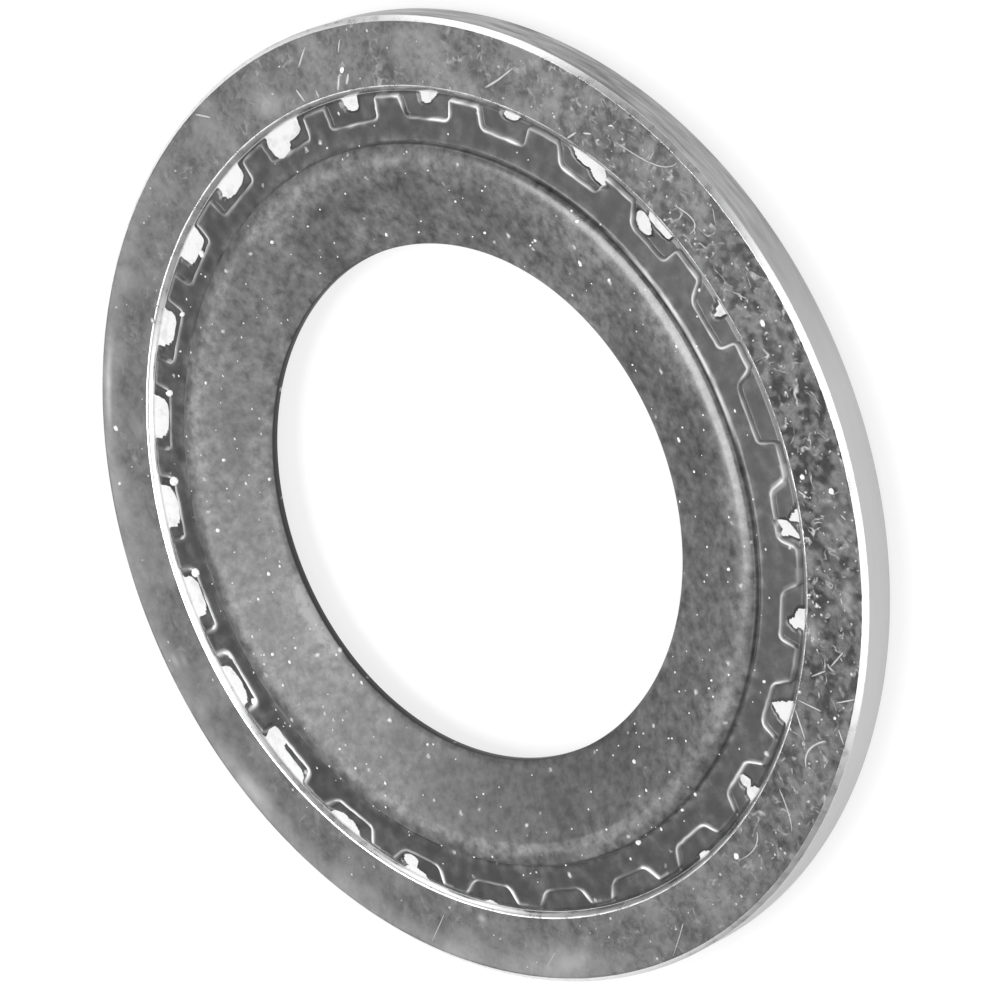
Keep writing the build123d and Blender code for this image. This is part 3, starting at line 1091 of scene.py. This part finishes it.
class WASHER_OT_face_marks(bpy.types.Operator):
    """Scratch and knock the band's face"""

    bl_idname = "washer.face_marks"
    bl_label = "Face Marks"

    def execute(self, context):
        s = context.scene.washer_ring
        face = MIDDLE + FACE
        small_knocks, small_scratches = 170, 24
        rng = np.random.default_rng(41)
        parts = [ribbon(width, stops, face) for width, *stops in SCRATCHES]
        parts += [crumb(a, r, 0.8 * half, face, rng) for a, r, half in KNOCKS]
        # Small knocks, most of them on the pitted side
        inner = (OUTER_RADIUS - s.band_width + 1.4 * s.shoulder_bevel) / MM
        outer = (OUTER_RADIUS - 1.3 * s.rim_bevel) / MM
        for _ in range(small_knocks):
            angle = rng.normal(10, 42) if rng.random() < 0.72 else rng.uniform(0, 360)
            radius, half = rng.uniform(inner, outer), rng.uniform(0.018, 0.042)
            parts.append(crumb(angle, radius, half, face, rng))
        for _ in range(small_scratches):
            angle, radius = rng.normal(15, 38), rng.uniform(inner + 0.1, outer - 0.2)
            turn, run = rng.uniform(0, math.pi), rng.uniform(0.07, 0.19)
            there = (
                angle + math.degrees(run / radius) * math.cos(turn),
                radius + run * math.sin(turn) * 0.6,
            )
            parts.append(ribbon(rng.uniform(0.03, 0.05), [(angle, radius), there], face))
        material = bare_steel(s, "bright_knocked_steel", s.wall, 0.5, 0.45, 0.6)
        piece = joined_object("bright_face_marks", parts, material)
        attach(piece, "root")
        return {"FINISHED"}


class WASHER_OT_dust(bpy.types.Operator):
    """Scatter pale crumbs of dust and flash over the rubber, some of them painted highlights"""

    bl_idname = "washer.dust"
    bl_label = "Dust"

    def execute(self, context):
        s, ring = context.scene.washer_seal, context.scene.washer_ring
        radii, heights = np.array(seal_profile(s)[::-1]).T
        skirt, floor = FACE - s.skirt_drop, FACE - ring.ledge_drop + s.skin
        pocket_mm = 11.2  # outside this radius the crumbs lie in the pockets

        def surface(radius_mm):
            if radius_mm < s.bead_radius / MM:
                return MIDDLE + float(np.interp(radius_mm * MM, radii, heights))
            return MIDDLE + (skirt if radius_mm < pocket_mm else floor)

        small_crumbs = 210
        rng = np.random.default_rng(43)
        parts = [crumb(a, r, 0.85 * half, surface(r), rng) for a, r, half in CRUMBS]
        for _ in range(small_crumbs):
            radius = rng.uniform(7.65, 11.1)
            half = rng.uniform(0.016, 0.036)
            parts.append(crumb(rng.uniform(0, 360), radius, half, surface(radius), rng))
        piece = joined_object("pale_crumbs_and_glints", parts, pale_dust_and_glints(s))
        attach(piece, "root")
        return {"FINISHED"}


class WASHER_OT_stage(bpy.types.Operator):
    """Set the floor, the soft studio light and the camera"""

    bl_idname = "washer.stage"
    bl_label = "Studio"

    def execute(self, context):
        s = context.scene.washer_studio
        scene = context.scene
        scene.view_settings.view_transform = "Standard"
        self.floor(s)
        self.world(scene, s)
        # A bright softbox nearly overhead, a wide soft one round the camera, and
        # two lower ones at the sides that catch the rim
        self.softbox("overhead_softbox", (168, 72), 0.6, (0.3, 0.3), s.overhead)
        self.softbox("front_softbox", (4, 47), 0.7, (0.55, 0.55), s.front)
        self.softbox("left_softbox", (100, 22), 0.7, (0.4, 0.4), s.front)
        self.softbox("right_softbox", (-50, 36), 0.7, (0.5, 0.5), s.front)
        self.camera(scene, s)
        return {"FINISHED"}

    def floor(self, s):
        material, tree = new_material("matt_white_paper")
        ray = add_node(tree, "LightPath").outputs
        seen = add_node(
            tree, "Math",
            {0: ray["Is Camera Ray"], 1: ray["Is Glossy Ray"]},
            operation="ADD", use_clamp=True,
        )
        seen = add_node(
            tree, "Math", {0: seen, 1: ray["Is Transmission Ray"]}, operation="ADD", use_clamp=True
        )
        share = add_node(tree, "Math", {0: seen, 1: 0.8}, operation="MULTIPLY")
        paper = add_node(tree, "BsdfDiffuse", {"Color": s.floor})
        white = add_node(tree, "Emission", {"Color": (1, 1, 1, 1), "Strength": 1.0})
        mix = add_node(tree, "MixShader", {0: share, 1: paper, 2: white})
        add_node(tree, "OutputMaterial", {"Surface": mix})
        half = 1.5  # metres
        corners = [(-half, -half), (half, -half), (half, half), (-half, half)]
        corners = [(x, y, cad_box[0][2]) for x, y in corners]
        new_object("floor", corners, [(0, 1, 2, 3)], [material])

    def world(self, scene, s):
        world = bpy.data.worlds.new("studio")
        world.use_nodes = True
        tree = world.node_tree
        tree.nodes.clear()
        ray = add_node(tree, "LightPath").outputs
        grey = add_node(tree, "Background", {"Color": (1, 1, 1, 1), "Strength": s.fill})
        white = add_node(tree, "Background", {"Color": (1, 1, 1, 1), "Strength": 1.0})
        mix = add_node(tree, "MixShader", {0: ray["Is Camera Ray"], 1: grey, 2: white})
        add_node(tree, "OutputWorld", {"Surface": mix})
        scene.world = world

    def softbox(self, name, direction, distance, size, radiance):
        """A square lamp aimed at the washer; direction is azimuth and elevation in degrees."""
        light = bpy.data.lights.new(name, "AREA")
        light.shape = "RECTANGLE"
        light.size, light.size_y = size
        light.energy = radiance * math.pi * size[0] * size[1]
        azimuth, elevation = map(math.radians, direction)
        away = Vector((
            math.cos(azimuth) * math.cos(elevation),
            math.sin(azimuth) * math.cos(elevation),
            math.sin(elevation),
        ))
        lamp = bpy.data.objects.new(name, light)
        bpy.context.scene.collection.objects.link(lamp)
        lamp.location = away * distance
        lamp.rotation_euler = away.to_track_quat("Z", "Y").to_euler()

    def camera(self, scene, s):
        """Camera leaning 44 degrees off the washer's axis and rolled about its own."""
        tilt, roll, heading = map(math.radians, (43.978, -22.63, 3.69))
        ct, st, cr, sr = math.cos(tilt), math.sin(tilt), math.cos(roll), math.sin(roll)
        right = Vector((cr * ct, sr, -cr * st))
        up = Vector((-sr * ct, cr, sr * st))
        back = Vector((st, 0, ct))
        turn = Matrix.Rotation(heading, 4, "Z")
        axes = Matrix((right, up, back)).transposed().to_4x4()
        axes.translation = Vector((96.962, -0.199, 98.835)) * MM
        camera = bpy.data.cameras.new("camera")
        camera.sensor_width = 36
        camera.lens = s.lens
        camera.clip_start = 0.001
        camera.clip_end = 10
        viewer = bpy.data.objects.new("camera", camera)
        scene.collection.objects.link(viewer)
        viewer.matrix_world = Matrix.Translation((0, 0, ring_high.z)) @ turn @ axes
        scene.camera = viewer


class VIEW3D_PT_washer(bpy.types.Panel):
    """Lists the washer's pieces and their settings"""

    bl_label = "Bonded Sealing Washer"
    bl_space_type = "VIEW_3D"
    bl_region_type = "UI"
    bl_category = "Washer"

    def draw(self, context):
        for step, group in STEPS:
            box = self.layout.box()
            box.operator(step)
            if group:
                settings = getattr(context.scene, group)
                for name in settings.bl_rna.properties.keys():
                    if name not in ("rna_type", "name"):
                        box.prop(settings, name)


STEPS = (
    ("washer.metal_ring", "washer_ring"),
    ("washer.rubber_seal", "washer_seal"),
    ("washer.face_marks", None),
    ("washer.dust", None),
    ("washer.stage", "washer_studio"),
)
GROUPS = {
    "washer_ring": WasherRingSettings,
    "washer_seal": WasherSealSettings,
    "washer_studio": WasherStudioSettings,
}
CLASSES = tuple(GROUPS.values()) + (
    WASHER_OT_metal_ring,
    WASHER_OT_rubber_seal,
    WASHER_OT_face_marks,
    WASHER_OT_dust,
    WASHER_OT_stage,
    VIEW3D_PT_washer,
)


def register():
    for cls in CLASSES:
        bpy.utils.register_class(cls)
    for name, group in GROUPS.items():
        setattr(bpy.types.Scene, name, bpy.props.PointerProperty(type=group))


def unregister():
    for name in GROUPS:
        delattr(bpy.types.Scene, name)
    for cls in reversed(CLASSES):
        bpy.utils.unregister_class(cls)


def main():
    register()
    for step, _ in STEPS:
        group, name = step.split(".")
        getattr(getattr(bpy.ops, group), name)()


if __name__ == "__main__":
    main()
